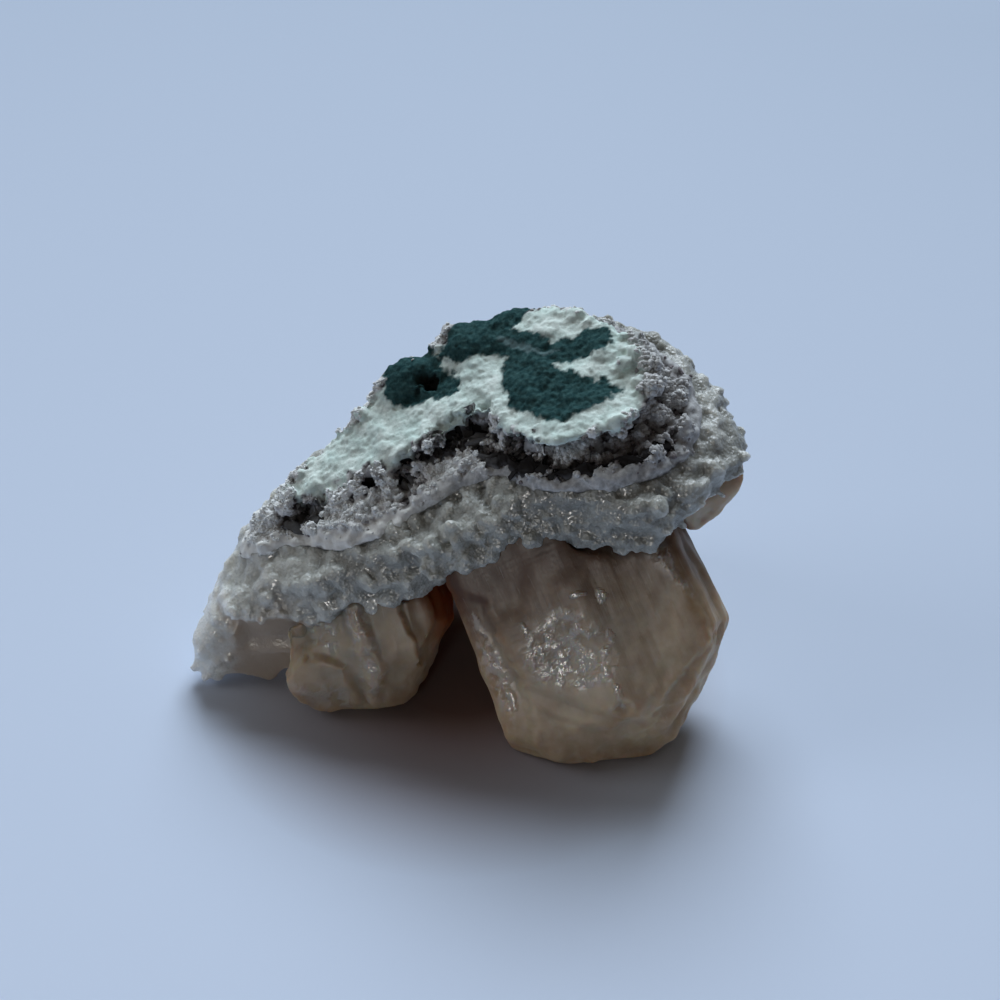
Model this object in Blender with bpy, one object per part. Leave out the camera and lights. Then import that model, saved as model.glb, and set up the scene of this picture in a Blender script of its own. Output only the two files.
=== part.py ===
"""A stilbite cluster lying on the ends of its crystals.

A crust of altered rock lies on top. A layer of white drusy crystals hangs under it, and peach
stilbite sheaves grow down out of that layer. Each sheaf is one solid, made of crystals grown
together, and the cluster rests on four of them.

Metres, +Z up. +X runs along the cluster from its low thin end to its high end, and +Y runs
from the big front sheaf to the back.
"""

import math
import random
from itertools import product

import bmesh
import bpy
from mathutils import Matrix, Vector, noise

MM = 0.001

# Gap between two pieces that touch.
CONTACT_GAP = 0.3 * MM

# Points round each ring of the crust and of the druse, one about every 2 mm.
RING_POINTS = 96

# The upper surface along the length of the cluster: (x, height) in millimetres at y = 0.
# It also climbs towards the back by TILT.
TOP_SPINE = [(-44, 13), (-40, 16.5), (-36, 20.5), (-29, 25.8), (-22, 30), (-14, 34), (-8, 36.8),
             (-2, 40), (4, 42.8), (11, 45.8), (19, 48.2), (26, 48.8), (34, 47.5), (42, 44)]
TILT = 0.3

# How far the druse's lower edge lies under that surface: (x, depth) in millimetres.
DRUSE_DEPTH = [(-44, 9.5), (-39, 14.5), (-32, 19.5), (-27, 18), (-22, 15), (-12, 15), (0, 15.5),
               (12, 16.5), (22, 16), (27, 14.7), (32, 12.2), (40, 9.4)]

# How far the crust's white ledge lies under the upper surface: (x, drop) in millimetres.
LEDGE_DROP = [(-36, 1.0), (-28, 2.6), (-20, 3.8), (-8, 4.4), (30, 4.4), (38, 3.4)]
LEDGE_THICKNESS = 2.0 * MM

# Plan outlines in millimetres, from the low end, along the front, and back along the rear.
PLATEAU_EDGE = [(-31, 3), (-26, 3.2), (-18, 3.4), (-9, 3), (-2, 4.4), (3, 4.6), (8, -2.6), (14, -5),
                (20, -4.6), (25, -2), (27.5, 4), (26, 12), (19, 16.5), (13, 20.5), (5, 21.5),
                (-3, 19.5), (-12, 16.2), (-21, 11.4), (-28, 6.6)]
LEDGE_EDGE = [(-35, 0.5), (-26, -1.4), (-19, -4.8), (-13, -4.8), (-6, -3), (0, -1.8), (5, -2.4),
              (10, -6.8), (19, -9.2), (26, -8.2), (31.5, -3.6), (34.5, 3), (33, 11), (26, 17),
              (18, 20.5), (11, 24), (2, 24), (-7, 21), (-17, 17), (-27, 11), (-34, 5.6)]
DRUSE_EDGE = [(-43.5, -5.6), (-39, -7.8), (-32, -8), (-25.5, -8.2), (-17.5, -9), (-10, -9),
              (-2.5, -8.4), (6.5, -7.6), (14, -9), (21, -11.4), (27, -12), (33, -7.8), (38, -2.6),
              (41, 2.6), (39, 10.5), (33, 18), (24, 23), (12, 26.5), (0, 25.8), (-12, 22.6),
              (-24, 17), (-34, 10), (-40.5, 1.5)]

# Rings shrink towards this line in the middle of the slab, in millimetres.
MIDLINE = (Vector((-24, 4)), Vector((19, 6)))

# Hollows under the lip of the plateau: (x, y, reach, depth) in millimetres.
LIP_HOLLOWS = [(18, -5, 11, 4.2), (-1, 4, 6.5, 2.8), (28, 2, 7, 1.6), (-18, 3, 7, 1.2),
               (8, -1, 5, 2.2)]

# How steep the side of the plateau is, from a slope at 0 to a wall at 1: (x, steepness).
STEEPNESS = [(-14, 0.0), (-6, 0.7), (0, 1.0)]

# Dark lumps that stand up along the plateau's rear edge: (x, y, radius, height) in millimetres.
KNOBS = [(-9.5, 17, 5.5, 3.6), (-0.5, 20.5, 6.5, 2.6), (6, 22, 5, 1.4)]

# Round pits in the grainy bands: (x, y, radius, depth) in millimetres.
PITS = [(-4, 1.5, 2.2, 1.6), (-9, -0.4, 1.8, 1.4), (-14, 0.6, 1.6, 1.1), (-27, 0.8, 2.0, 1.2),
        (-21, -0.6, 1.6, 1.0), (30.5, 3.5, 2.0, 1.5), (29.5, -2.5, 2.2, 1.6), (3, 15.5, 1.8, 0.8),
        (-8, 13.5, 2.2, 1.3), (24, 14.5, 1.8, 1.1)]

# Each sheaf starts this far inside the druse, and its broad faces fall back towards their edges
# by the rounding share.
ROOT_DEPTH = 3 * MM
ROUNDING = 0.16

# The sheaves. root is the middle of the waist and axis the way the crystals grow; face is the
# outward side of the broad face. Sizes are in millimetres. A facet is a plane across the end of
# the sheaf: which way it looks round the axis (0 is the side, 90 the broad face), how far it is
# tipped from the axis, both in degrees, and how much it takes off the corner that it meets.
# blades is how many thin crystals lie along each broad face, stand how far they stand out of
# it, and steps how far their ends fall behind or pass the facets.
SHEAVES = {
    "stilbite_main": dict(
        root=(12.5, -1.0, 27.5), axis=(0.40, -0.54, -0.74), face=(-0.18, -0.78, 0.60),
        width=34, end_width=39.5, thickness=17, length=43.5,
        blades=9, stand=0.7, steps=(-0.9, 0.4),
        facets=[(90, 52, 6.5), (-90, 50, 7.5), (8, 44, 13.5), (172, 62, 6.5), (45, 46, 11),
                (135, 50, 9.5), (20, 68, 5.0), (-45, 50, 9), (-135, 50, 9), (60, 22, 3.5),
                (25, 30, 11.5)],
        colour=(0.60, 0.40, 0.26), seed=3),
    "stilbite_left": dict(
        root=(-17.5, 2.0, 20.0), axis=(0.20, -0.62, -0.77), face=(-0.20, -0.78, 0.60),
        width=21, end_width=28, thickness=12, length=28.5,
        blades=6, stand=1.5, steps=(-2.2, 0.5),
        facets=[(90, 50, 4.5), (-90, 50, 4.5), (0, 52, 8.5), (180, 48, 4.5), (40, 50, 7),
                (140, 50, 5)],
        colour=(0.62, 0.46, 0.33), seed=11),
    "stilbite_right": dict(
        root=(29.3, 5.6, 37.8), axis=(0.42, -0.30, -0.86), face=(0.25, -0.85, 0.42),
        width=16, end_width=18, thickness=12, length=17.5,
        blades=3, stand=0.5, steps=(-0.9, 0.4),
        facets=[(90, 50, 3), (-90, 50, 3), (0, 50, 4.5), (180, 50, 4.5)],
        colour=(0.60, 0.42, 0.28), seed=23),
    "stilbite_back": dict(
        root=(12, 16, 31), axis=(0.16, 0.26, -0.95), face=(0.05, 0.95, 0.25),
        width=25, end_width=30, thickness=13, length=37.5,
        blades=6, stand=0.8, steps=(-1.5, 0.5),
        facets=[(90, 50, 5), (-90, 50, 5), (0, 46, 9.5), (180, 50, 8), (45, 48, 8),
                (135, 48, 8)],
        colour=(0.61, 0.42, 0.28), seed=31),
    "stilbite_back_left": dict(
        root=(-9.5, 9, 26), axis=(-0.02, 0.24, -0.97), face=(-0.06, 0.95, 0.25),
        width=20, end_width=26, thickness=12, length=32,
        blades=4, stand=1.2, steps=(-1.8, 0.5),
        facets=[(90, 50, 4.5), (-90, 50, 4.5), (0, 50, 7.5), (180, 46, 8)],
        colour=(0.62, 0.45, 0.31), seed=47),
}


def clear_scene():
    for obj in list(bpy.data.objects):
        bpy.data.objects.remove(obj)


def new_collection(name, hidden=False):
    collection = bpy.data.collections.new(name)
    bpy.context.scene.collection.children.link(collection)
    collection.hide_render = hidden
    return collection


def stone(name, colour, roughness):
    material = bpy.data.materials.new(name)
    material.use_nodes = True
    shader = material.node_tree.nodes["Principled BSDF"]
    shader.inputs["Base Color"].default_value = (*colour, 1.0)
    shader.inputs["Roughness"].default_value = roughness
    shader.inputs["Metallic"].default_value = 0.0
    material.diffuse_color = (*colour, 1.0)
    return material


def add_mesh(name, bm, collection, material=None):
    mesh = bpy.data.meshes.new(name)
    bm.to_mesh(mesh)
    bm.free()
    if material is not None:
        mesh.materials.append(material)
    obj = bpy.data.objects.new(name, mesh)
    collection.objects.link(obj)
    return obj


def interpolate(table, x):
    """Value of a table of (x, value) at x, on straight lines between its points."""
    if x <= table[0][0]:
        return table[0][1]
    for (x0, v0), (x1, v1) in zip(table, table[1:]):
        if x <= x1:
            return v0 + (v1 - v0) * (x - x0) / (x1 - x0)
    return table[-1][1]


def top_height(x, y):
    """Height of the upper surface over a plan point, all in metres."""
    return interpolate(TOP_SPINE, x / MM) * MM + TILT * y


def ledge_height(x, y):
    return top_height(x, y) - interpolate(LEDGE_DROP, x / MM) * MM


def seat_height(x, y):
    """The surface where the druse meets the crust."""
    return ledge_height(x, y) - LEDGE_THICKNESS


def druse_bottom(x, y):
    return top_height(x, y) - interpolate(DRUSE_DEPTH, x / MM) * MM


def closed_spline(points, count):
    """A Catmull-Rom curve through the points of a closed outline, as count points at even steps."""
    corners = [Vector(p) * MM for p in points]
    n = len(corners)
    steps = 16
    dense = []
    for i in range(n):
        a, b, c, d = (corners[(i + k) % n] for k in (-1, 0, 1, 2))
        for k in range(steps):
            t = k / steps
            dense.append(0.5 * (2 * b + (c - a) * t + (2 * a - 5 * b + 4 * c - d) * t * t
                                + (3 * b - 3 * c + d - a) * t ** 3))
    lengths = [0.0]
    for p, q in zip(dense, dense[1:] + dense[:1]):
        lengths.append(lengths[-1] + (q - p).length)
    outline = []
    k = 0
    for i in range(count):
        target = lengths[-1] * i / count
        while lengths[k + 1] < target:
            k += 1
        share = (target - lengths[k]) / (lengths[k + 1] - lengths[k])
        outline.append(dense[k].lerp(dense[(k + 1) % len(dense)], share))
    return outline


def towards_middle(p, share):
    """A plan point moved towards the slab's middle line: 0 leaves it and 1 puts it on the line."""
    a, b = (end * MM for end in MIDLINE)
    along = (b - a).normalized()
    reach = min(max((p - a).dot(along), 0.0), (b - a).length)
    foot = a + along * reach
    return p.lerp(foot, share)


def blended(outline_a, outline_b, share):
    return [p.lerp(q, share) for p, q in zip(outline_a, outline_b)]


def hollow_at(p):
    """How deep the hollow under the plateau's lip is at a plan point, in metres."""
    deepest = 0.0
    for x, y, reach, depth in LIP_HOLLOWS:
        away = (p - Vector((x, y)) * MM).length / (reach * MM)
        if away < 1.0:
            deepest = max(deepest, depth * MM * (1 - away * away))
    return deepest


def bump_at(p, table):
    """The highest of a table's round bumps at a plan point, in metres."""
    highest = 0.0
    for x, y, radius, height in table:
        away = (Vector((p.x, p.y)) - Vector((x, y)) * MM).length / (radius * MM)
        if away < 1.0:
            highest = max(highest, height * MM * math.cos(away * math.pi / 2))
    return highest


def lumps(p, size):
    """Rounded grains of about one size: 0 in the seams and about 1 on the tops."""
    nearest = noise.voronoi(p / size)[0]
    return min(1.0, (nearest[1] - nearest[0]) * 1.6)


def loft(rings):
    """A closed solid through rings of (points, roughness). The first ring is the top one."""
    bm = bmesh.new()
    rough = bm.verts.layers.float.new("roughness")
    rows = []
    for points, roughness in rings:
        row = [bm.verts.new(p) for p in points]
        for vert in row:
            vert[rough] = roughness
        rows.append(row)
    count = len(rows[0])
    for upper, lower in zip(rows, rows[1:]):
        for i in range(count):
            j = (i + 1) % count
            bm.faces.new((upper[i], lower[i], lower[j], upper[j]))
    bm.faces.new(list(reversed(rows[-1])))
    bm.faces.new(rows[0])
    bmesh.ops.triangulate(bm, faces=bm.faces[:])
    bmesh.ops.recalc_face_normals(bm, faces=bm.faces[:])
    return bm


def roughen(bm, relief):
    """Moves each point of a loft along its normal by relief, scaled by its ring's roughness."""
    rough = bm.verts.layers.float["roughness"]
    bm.normal_update()
    moves = [(v, v.normal.copy() * relief(v.co) * v[rough]) for v in bm.verts if v[rough] > 0]
    for vert, move in moves:
        vert.co += move


def ring(outline, height, drop=0.0):
    return [Vector((p.x, p.y, height(p.x, p.y) - drop)) for p in outline]


def crust_relief(p):
    """Broad swells, with grains that stand out where the rock isn't smooth."""
    swell = noise.noise(p / (7 * MM)) * 0.8 * MM
    grain = (lumps(p, 3.4 * MM) - 0.5) * 0.9 * MM
    return swell + grain + bump_at(p, KNOBS) - bump_at(p, PITS)


def build_crust(collection):
    """The rock crust: a plateau, a lip with hollows under it, and a ledge round the foot."""
    plateau = closed_spline(PLATEAU_EDGE, RING_POINTS)
    ledge = closed_spline(LEDGE_EDGE, RING_POINTS)
    rings = []
    for share in (0.9, 0.72, 0.54, 0.38, 0.24, 0.11):
        inner = [towards_middle(p, share) for p in plateau]
        rings.append((ring(inner, top_height), 0.75))
    rings.append((ring(plateau, top_height, 0.5 * MM), 1.0))
    wall = []
    groove = []
    for p, q in zip(plateau, ledge):
        slope = 1.0 - interpolate(STEEPNESS, p.x / MM)
        inset = towards_middle(p, min(0.6, hollow_at(p) / (9 * MM)))
        top, foot = top_height(p.x, p.y), ledge_height(p.x, p.y)
        near, far = inset.lerp(q, 0.15 * slope), inset.lerp(q, 0.3 * slope)
        wall.append(Vector((near.x, near.y, top * 0.58 + foot * 0.42)))
        groove.append(Vector((far.x, far.y, top * 0.12 + foot * 0.88)))
    rings.append((wall, 0.9))
    rings.append((groove, 0.9))
    rings.append((ring(blended(plateau, ledge, 0.4), ledge_height, -0.2 * MM), 1.0))
    rings.append((ring(blended(plateau, ledge, 0.75), ledge_height, -0.3 * MM), 1.0))
    rings.append((ring(ledge, ledge_height, 0.5 * MM), 0.7))
    rings.append((ring(ledge, ledge_height, 1.4 * MM), 0.3))
    for share in (0.08, 0.35, 0.65, 0.9):
        inner = [towards_middle(p, share) for p in ledge]
        rings.append((ring(inner, seat_height), 0.0))
    bm = loft(rings)
    roughen(bm, crust_relief)
    return add_mesh("rock_crust", bm, collection, stone("altered_rock", (0.55, 0.62, 0.58), 0.9))


def druse_relief(p):
    """Blocky crystal lumps, coarse ones with smaller ones on them."""
    coarse = (lumps(p, 5.0 * MM) - 0.5) * 1.5 * MM
    fine = (lumps(p + Vector((0.03, 0.01, 0.02)), 2.6 * MM) - 0.5) * 0.8 * MM
    return coarse + fine


def druse_rings(grow=0.0):
    """Rings of the druse. grow thickens its lower side, for the cutter that trims the sheaves."""
    ledge = closed_spline(LEDGE_EDGE, RING_POINTS)
    edge = closed_spline(DRUSE_EDGE, RING_POINTS)
    middle_height = [(seat_height(p.x, p.y) * 0.45 + druse_bottom(p.x, p.y) * 0.55) for p in edge]
    rings = []
    for share in (0.9, 0.6, 0.3, 0.08):
        inner = [towards_middle(p, share) for p in ledge]
        rings.append((ring(inner, seat_height, CONTACT_GAP), 0.0))
    rings.append((ring(blended(ledge, edge, 0.35), ledge_height, 2.2 * MM), 0.5))
    rings.append((ring(blended(ledge, edge, 0.75), ledge_height, 2.6 * MM), 1.0))
    bulge = [Vector((p.x, p.y, z)) for p, z in zip(edge, middle_height)]
    upper_bulge = [q.lerp(Vector((p.x, p.y, seat_height(p.x, p.y))), 0.45)
                   for p, q in zip(blended(ledge, edge, 0.95), bulge)]
    rings.append((upper_bulge, 1.0))
    rings.append((bulge, 1.0))
    lower = [q.lerp(Vector((p.x, p.y, druse_bottom(p.x, p.y))), 0.55) for p, q in zip(edge, bulge)]
    rings.append((lower, 1.0))
    rings.append((ring(edge, druse_bottom), 0.9))
    for share, lift, roughness in ((0.12, 0.6, 0.7), (0.3, 1.6, 0.35), (0.5, 2.4, 0.1),
                                   (0.72, 2.8, 0.0), (0.92, 3.0, 0.0)):
        inner = [towards_middle(p, share) for p in edge]
        rings.append((ring(inner, druse_bottom, grow - lift * MM), roughness))
    return rings


def build_druse(collection):
    bm = loft(druse_rings())
    roughen(bm, druse_relief)
    return add_mesh("white_druse", bm, collection, stone("drusy_white", (0.78, 0.80, 0.79), 0.55))


def keep_below(bm, point, normal):
    """Cuts off what lies on the outer side of a plane, and closes the cut with a flat face."""
    cut = bmesh.ops.bisect_plane(bm, geom=bm.verts[:] + bm.edges[:] + bm.faces[:],
                                 plane_co=point, plane_no=normal, clear_outer=True)
    edges = [e for e in cut["geom_cut"] if isinstance(e, bmesh.types.BMEdge)]
    if edges:
        bmesh.ops.edgeloop_fill(bm, edges=edges)


def spread_block(width, end_width, thickness, length, corner):
    """A block up +Z from z = 0 that widens towards its end, with its long edges chamfered."""
    bm = bmesh.new()
    bmesh.ops.create_cube(bm, size=1.0)
    bmesh.ops.translate(bm, vec=(0, 0, 0.5), verts=bm.verts[:])
    bmesh.ops.scale(bm, vec=(width, thickness, length), verts=bm.verts[:])
    end = [v for v in bm.verts if v.co.z > length / 2]
    bmesh.ops.scale(bm, vec=(end_width / width, 1.06, 1.0), verts=end)
    long_edges = [e for e in bm.edges if abs(e.verts[0].co.z - e.verts[1].co.z) > length / 2]
    bmesh.ops.bevel(bm, geom=long_edges, offset=corner, offset_type="OFFSET", segments=2,
                    profile=0.45, affect="EDGES")
    return bm


def facet_normal(around, tipped):
    a, t = math.radians(around), math.radians(tipped)
    return Vector((math.cos(a) * math.sin(t), math.sin(a) * math.sin(t), math.cos(t)))


def cut_facets(bm, facets, reaches, longer=0.0):
    """Cuts the facets off a crystal's end. reaches are their distances from the sheaf's root."""
    for (around, tipped, _), reach in zip(facets, reaches):
        normal = facet_normal(around, tipped)
        keep_below(bm, normal * (reach + longer), normal)


def facet_reaches(bm, facets):
    """How far along each facet's normal the facet lies, from the corner that it takes off."""
    reaches = []
    for around, tipped, trim in facets:
        normal = facet_normal(around, tipped)
        reaches.append(max(v.co.dot(normal) for v in bm.verts) - trim * MM)
    return reaches


def frame_along(axis, face):
    """Columns are the side, the face and the axis direction of a sheaf."""
    z = Vector(axis).normalized()
    y = Vector(face)
    y = (y - z * y.dot(z)).normalized()
    x = y.cross(z)
    return Matrix((x, y, z)).transposed()


def sheaf_crystals(spec):
    """The body of a sheaf, and the thin crystals along its two broad faces."""
    chance = random.Random(spec["seed"])
    facets, count = spec["facets"], spec["blades"]
    width, end_width, thickness, length = (
        spec[key] * MM for key in ("width", "end_width", "thickness", "length"))
    sunk = Vector((0, 0, -ROOT_DEPTH))
    core = spread_block(width, end_width, thickness, length, corner=thickness * 0.16)
    bmesh.ops.translate(core, vec=sunk, verts=core.verts[:])
    reaches = facet_reaches(core, facets)
    cut_facets(core, facets, reaches)
    crystals = [core]
    for side in (1, -1):
        for i in range(count):
            u = 2 * (i + 0.5) / count - 1 + chance.uniform(-0.5, 0.5) / count
            foot = Vector((u * 0.46 * width, 0, 0))
            head = Vector((u * 0.46 * end_width, 0, length))
            depth = thickness * (1 - ROUNDING * u * u) / 2 + spec["stand"] * MM * chance.random()
            across = end_width / count * chance.uniform(0.9, 1.5)
            thin = spread_block(across * 0.85, across, depth, length, corner=across * 0.12)
            bmesh.ops.translate(thin, vec=sunk + Vector((0, side * depth / 2, 0)),
                                verts=thin.verts[:])
            lean = frame_along(head - foot, (0, 1, 0)).to_4x4()
            thin.transform(Matrix.Translation(foot) @ lean)
            cut_facets(thin, facets, reaches, longer=chance.uniform(*spec["steps"]) * MM)
            crystals.append(thin)
    return crystals


def joined(name, parts, collection, material):
    """One solid from overlapping parts."""
    base = parts[0]
    group = bpy.data.collections.new(name + "_parts")
    for part in parts[1:]:
        group.objects.link(part)
    union = base.modifiers.new("grown_together", "BOOLEAN")
    union.operation = "UNION"
    union.operand_type = "COLLECTION"
    union.collection = group
    union.solver = "EXACT"
    mesh = bpy.data.meshes.new_from_object(
        base.evaluated_get(bpy.context.evaluated_depsgraph_get()))
    for part in parts:
        bpy.data.objects.remove(part)
    bpy.data.collections.remove(group)
    mesh.name = name
    mesh.materials.clear()
    mesh.materials.append(material)
    obj = bpy.data.objects.new(name, mesh)
    collection.objects.link(obj)
    return obj


def cut_away(obj, cutter):
    """Takes the cutter's volume out of an object for good."""
    cut = obj.modifiers.new("trim", "BOOLEAN")
    cut.operation = "DIFFERENCE"
    cut.object = cutter
    cut.solver = "EXACT"
    mesh = bpy.data.meshes.new_from_object(
        obj.evaluated_get(bpy.context.evaluated_depsgraph_get()))
    obj.modifiers.remove(cut)
    obj.data = mesh


def tidy_mesh(obj, flat_angle=math.radians(1.5)):
    """Merges slivers left by the joins and keeps the biggest closed body."""
    bm = bmesh.new()
    bm.from_mesh(obj.data)
    bmesh.ops.remove_doubles(bm, verts=bm.verts[:], dist=0.02 * MM)
    bmesh.ops.dissolve_limit(bm, angle_limit=flat_angle, verts=bm.verts[:], edges=bm.edges[:])
    bmesh.ops.triangulate(bm, faces=bm.faces[:])
    islands = []
    unseen = set(bm.verts)
    while unseen:
        stack = [unseen.pop()]
        island = set(stack)
        while stack:
            for edge in stack.pop().link_edges:
                for vert in edge.verts:
                    if vert in unseen:
                        unseen.remove(vert)
                        island.add(vert)
                        stack.append(vert)
        islands.append(island)
    keep = max(islands, key=len)
    bmesh.ops.delete(bm, geom=[v for v in bm.verts if v not in keep], context="VERTS")
    bmesh.ops.recalc_face_normals(bm, faces=bm.faces[:])
    bm.to_mesh(obj.data)
    bm.free()


def clear_hull(obj, gap, collection):
    """A cutter that wraps a finished piece and clears it by the gap on every side."""
    bm = bmesh.new()
    for vert in obj.data.vertices:
        for shift in product((-gap, gap), repeat=3):
            bm.verts.new(vert.co + Vector(shift))
    hull = bmesh.ops.convex_hull(bm, input=bm.verts[:])
    inner = {v for v in hull["geom_interior"] + hull["geom_unused"]
             if isinstance(v, bmesh.types.BMVert)}
    bmesh.ops.delete(bm, geom=list(inner), context="VERTS")
    bmesh.ops.recalc_face_normals(bm, faces=bm.faces[:])
    cutter = add_mesh(obj.name + "_cutter", bm, collection)
    cutter.hide_render = True
    cutter.display_type = "WIRE"
    return cutter


def build_sheaf(name, spec, collection, cutters):
    material = stone(name + "_peach", spec["colour"], 0.35)
    place = Matrix.Translation(Vector(spec["root"]) * MM)
    place = place @ frame_along(spec["axis"], spec["face"]).to_4x4()
    parts = []
    for k, bm in enumerate(sheaf_crystals(spec)):
        bmesh.ops.recalc_face_normals(bm, faces=bm.faces[:])
        bm.transform(place)
        parts.append(add_mesh(f"{name}_crystal_{k}", bm, collection))
    sheaf = joined(name, parts, collection, material)
    for cutter in cutters:
        cut_away(sheaf, cutter)
    tidy_mesh(sheaf)
    return sheaf


def box_cutter(name, low, high, collection):
    bm = bmesh.new()
    bmesh.ops.create_cube(bm, size=1.0)
    size = Vector(high) - Vector(low)
    bmesh.ops.scale(bm, vec=size, verts=bm.verts[:])
    bmesh.ops.translate(bm, vec=(Vector(high) + Vector(low)) / 2, verts=bm.verts[:])
    cutter = add_mesh(name, bm, collection)
    cutter.hide_render = True
    cutter.display_type = "WIRE"
    return cutter


def centre_on_base(objects):
    """Puts the middle of the whole cluster's box over the origin, with its lowest face at z = 0."""
    corners = [obj.matrix_world @ v.co for obj in objects for v in obj.data.vertices]
    low = Vector([min(c[k] for c in corners) for k in range(3)])
    high = Vector([max(c[k] for c in corners) for k in range(3)])
    move = Vector((-(low.x + high.x) / 2, -(low.y + high.y) / 2, -low.z))
    for obj in objects:
        obj.data.transform(Matrix.Translation(move))


def main():
    clear_scene()
    cluster = new_collection("stilbite_cluster")
    cutters = new_collection("cutters", hidden=True)
    crust = build_crust(cluster)
    druse = build_druse(cluster)
    bm = loft(druse_rings(grow=CONTACT_GAP))
    roughen(bm, lambda p: druse_relief(p) + CONTACT_GAP)
    druse_cutter = add_mesh("druse_cutter", bm, cutters)
    druse_cutter.hide_render = True
    druse_cutter.display_type = "WIRE"
    floor_cutter = box_cutter("floor_cutter", (-0.2, -0.2, -0.2), (0.2, 0.2, 0.0), cutters)
    trims = [druse_cutter, floor_cutter]
    sheaves = []
    for name, spec in SHEAVES.items():
        sheaf = build_sheaf(name, spec, cluster, trims)
        sheaves.append(sheaf)
        trims.append(clear_hull(sheaf, CONTACT_GAP, cutters))
    centre_on_base([crust, druse, *sheaves])


main()
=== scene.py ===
"""The finished stilbite cluster: rock crust, white druse and peach sheaves on a pale table."""

import math

import bpy
import numpy as np
from mathutils import Matrix, Vector, noise
from mathutils.bvhtree import BVHTree


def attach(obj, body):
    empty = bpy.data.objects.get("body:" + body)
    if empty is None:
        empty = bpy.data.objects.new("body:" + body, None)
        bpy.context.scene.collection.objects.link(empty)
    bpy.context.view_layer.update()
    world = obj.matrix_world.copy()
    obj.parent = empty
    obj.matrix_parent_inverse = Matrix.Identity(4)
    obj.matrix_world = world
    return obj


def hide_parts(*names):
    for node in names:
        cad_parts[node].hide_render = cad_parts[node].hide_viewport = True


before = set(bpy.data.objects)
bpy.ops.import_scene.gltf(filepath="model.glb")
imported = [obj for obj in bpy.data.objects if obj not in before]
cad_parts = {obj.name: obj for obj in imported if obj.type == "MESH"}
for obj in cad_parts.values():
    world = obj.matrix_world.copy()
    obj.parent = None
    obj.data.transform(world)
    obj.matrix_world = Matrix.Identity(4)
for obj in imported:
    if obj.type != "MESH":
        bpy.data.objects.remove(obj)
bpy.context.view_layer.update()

MM = 0.001

# Each surface is rebuilt from small cubes: their widths in millimetres.
BARE_CRUST_CUBE = 0.35
CRUST_CUBE = 0.28
BARE_DRUSE_CUBE = 0.5
DRUSE_CUBE = 0.36
SHEAF_CUBE = 0.32

# How many of each small shape are scattered, and the seeds of the random draws.
CLUMP_COUNT = 900
GRAIN_COUNT = 6200
LUMP_COUNT = 150
PLATE_COUNT = 1000
TOOTH_COUNT = 480
LEFT_TOOTH_COUNT = 90
TONGUE_COUNT = 230
CLUMP_SEED = 12
GRAIN_SEED = 5
DRUSE_SEED = 21

# How far parts of a surface are moved outwards, in millimetres.
HOLLOW_PUSH = -2.4
UNDERCUT_PUSH = -1.5
OVERHANG_PUSH = -1.3
SEAM_PUSH = 0.45

# A vertex group's weights are kept in this many steps.
WEIGHT_LEVELS = 20

# Where the photograph was taken from: the point looked at, the distance and the height angle.
LOOKED_AT = Vector((5.8, 2.9, 27.0)) * MM
CAMERA_DISTANCE = 0.25
CAMERA_HEIGHT = math.radians(38)
CAMERA_ANGLE = math.radians(34)

# The upper surface along the cluster: (x, height) at y = PLAN_Y, in millimetres. It climbs to
# the back by CLIMB.
SPINE = [(-43, 13), (-39, 16.5), (-35, 20.5), (-28, 25.8), (-21, 30), (-13, 34), (-7, 36.8),
         (-1, 40), (5, 42.8), (12, 45.8), (20, 48.2), (27, 48.8), (35, 47.5), (43, 44)]
PLAN_Y = -2.1
CLIMB = 0.3

# Plan outlines in millimetres: the plateau's lip, and the white rim round the crust's foot.
PLATEAU = [(-30, 1), (-25, 1.1), (-17, 1.3), (-8, 0.9), (-1, 2.3), (4, 2.5), (9, -4.7), (15, -7.1),
           (21, -6.7), (26, -4.1), (28.3, 1.9), (27, 10), (20, 14.4), (14, 18.4), (6, 19.4),
           (-2, 17.4), (-11, 14.1), (-20, 9.3), (-27, 4.5)]
RIM = [(-34, -1.6), (-25, -3.5), (-18, -6.9), (-12, -6.9), (-5, -5.1), (1, -3.9), (6, -4.5),
       (11, -8.9), (20, -11.3), (27, -10.3), (32.3, -5.7), (35.3, 0.9), (34, 9), (27, 15),
       (19, 18.4), (12, 22), (3, 22), (-6, 19), (-16, 15), (-26, 9), (-33, 3.5)]

# Dark green patches in plan, in millimetres.
GREEN_PATCHES = [
    [(6.2, 8), (6.6, 11.4), (9.4, 11), (12.4, 9.4), (13.6, 6.4), (15.6, 5), (18.8, 2.8),
     (23.4, 0.9), (20.8, -1.0), (18, -1.9), (15.4, -3.2), (12.0, -1.8), (8.3, 1.6), (6.2, 5.3)],
    [(-3, 15.2), (-1.5, 19), (3, 21.5), (8, 21), (11.1, 19.1), (8.8, 16.9), (7.4, 15.6),
     (10.3, 13.6), (13.2, 11), (15.4, 11), (19.1, 11.8), (21.3, 12), (22.2, 9.1), (20.4, 7.3),
     (17.5, 7.2), (14.6, 7.6), (10.2, 9), (7.3, 11), (5.1, 13.2), (2.8, 14), (0.5, 13.6)],
    [(-12, 15), (-11, 18), (-5.5, 18), (-4, 15), (-3, 13), (-0.5, 10.8), (-0.8, 8.7), (-3.2, 8.8),
     (-7, 10), (-9.7, 10.3), (-11.2, 12)],
]
# A hollow in a green patch, pushed in and painted black as its shade.
SHADED_HOLLOW = [(-7.4, 13.2), (-5.4, 14), (-3.2, 12.4), (-4, 10.8), (-6.6, 11.2)]
GREY_STREAK = [(4.6, 15.6), (6.5, 14.9), (9.2, 12.9), (12, 10.4), (14.9, 10), (15, 9),
               (12.2, 8.9), (8.6, 11.4), (5.6, 14.1)]
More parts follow.
